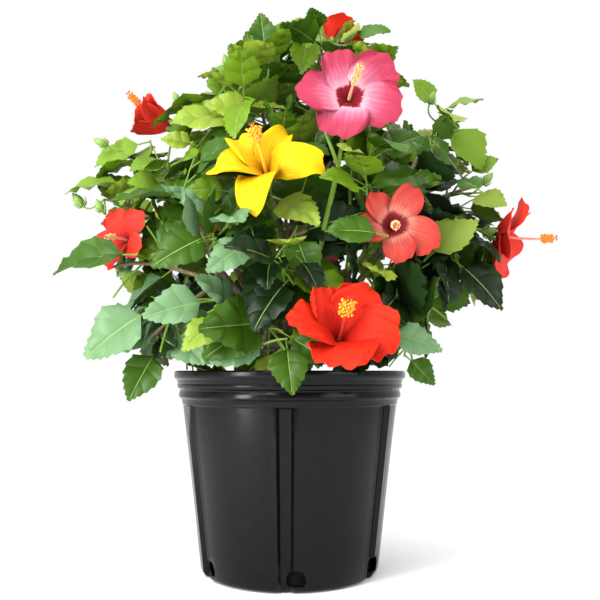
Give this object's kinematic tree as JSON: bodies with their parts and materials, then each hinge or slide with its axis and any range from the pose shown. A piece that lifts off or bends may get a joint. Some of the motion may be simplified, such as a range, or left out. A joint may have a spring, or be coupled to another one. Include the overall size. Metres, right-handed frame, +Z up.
{
  "type": "potted hibiscus shrub",
  "caption": "Bushy tropical hibiscus in a ribbed black nursery pot, with broad toothed leaves and large pink, yellow, red and coral blooms.",
  "frame": {"origin": "centre of the pot's flat underside, on the surface that the pot stands on", "axes": "+Z up; -Y is the front, which the pink, yellow, red and coral blooms face; +X is the viewer's right"},
  "size_m": [0.5781, 0.4991, 0.7089],
  "materials": {
    "pot_plastic": "semi-gloss black blow-moulded polyethylene",
    "potting_mix": "rough, moist bark chips and peat",
    "bark": "matte grey-brown bark, green-brown on young wood",
    "foliage": "glossy green leaves, paler underneath",
    "pink_petals": "soft satin petals, pale towards a dark red eye",
    "yellow_petals": "soft satin petals",
    "red_petals": "soft satin ruffled petals",
    "coral_petals": "soft satin petals, pale towards a dark red eye"
  },
  "bodies": {
    "root": {"pot": "pot_plastic", "potting_mix": "potting_mix", "trunk": "bark", "bough_upright_left": "bark", "bough_upright_right": "bark", "bough_right": "bark", "bough_right_low": "bark", "bough_front_right": "bark", "bough_front": "bark", "bough_front_left": "bark", "bough_left": "bark", "bough_left_low": "bark", "bough_back_left": "bark", "bough_back": "bark", "bough_back_right": "bark", "bloom_front_pink": "pink_petals", "bloom_front_yellow": "yellow_petals", "bloom_front_red": "red_petals", "bloom_right_coral": "coral_petals", "bloom_right_red": "coral_petals", "bloom_top_red": "red_petals", "bloom_left_high": "red_petals", "bloom_left_red": "coral_petals", "bloom_back_yellow": "yellow_petals", "bloom_back_pink": "pink_petals", "bloom_back_red": "red_petals", "foliage_top_left": "foliage", "foliage_upper_left": "foliage", "foliage_top_back_left": "foliage", "foliage_top_middle": "foliage", "foliage_top_right": "foliage", "foliage_top_back_right": "foliage", "foliage_right_high": "foliage", "foliage_right_middle": "foliage", "foliage_right_front": "foliage", "foliage_right_low": "foliage", "foliage_lower_right": "foliage", "foliage_front_right": "foliage", "foliage_front_right_low": "foliage", "foliage_front_middle": "foliage", "foliage_front_low": "foliage", "foliage_middle_high": "foliage", "foliage_front_left": "foliage", "foliage_left_low": "foliage", "foliage_lower_left": "foliage", "foliage_left_high": "foliage", "foliage_left_middle": "foliage", "foliage_bottom_left": "foliage", "foliage_back_left_low": "foliage", "foliage_back_left_high": "foliage", "foliage_back_left": "foliage", "foliage_back_high": "foliage", "foliage_back_middle": "foliage", "foliage_back_low": "foliage", "foliage_back_right_high": "foliage", "foliage_back_right": "foliage", "foliage_back_right_low": "foliage"}
  },
  "joints": []
}
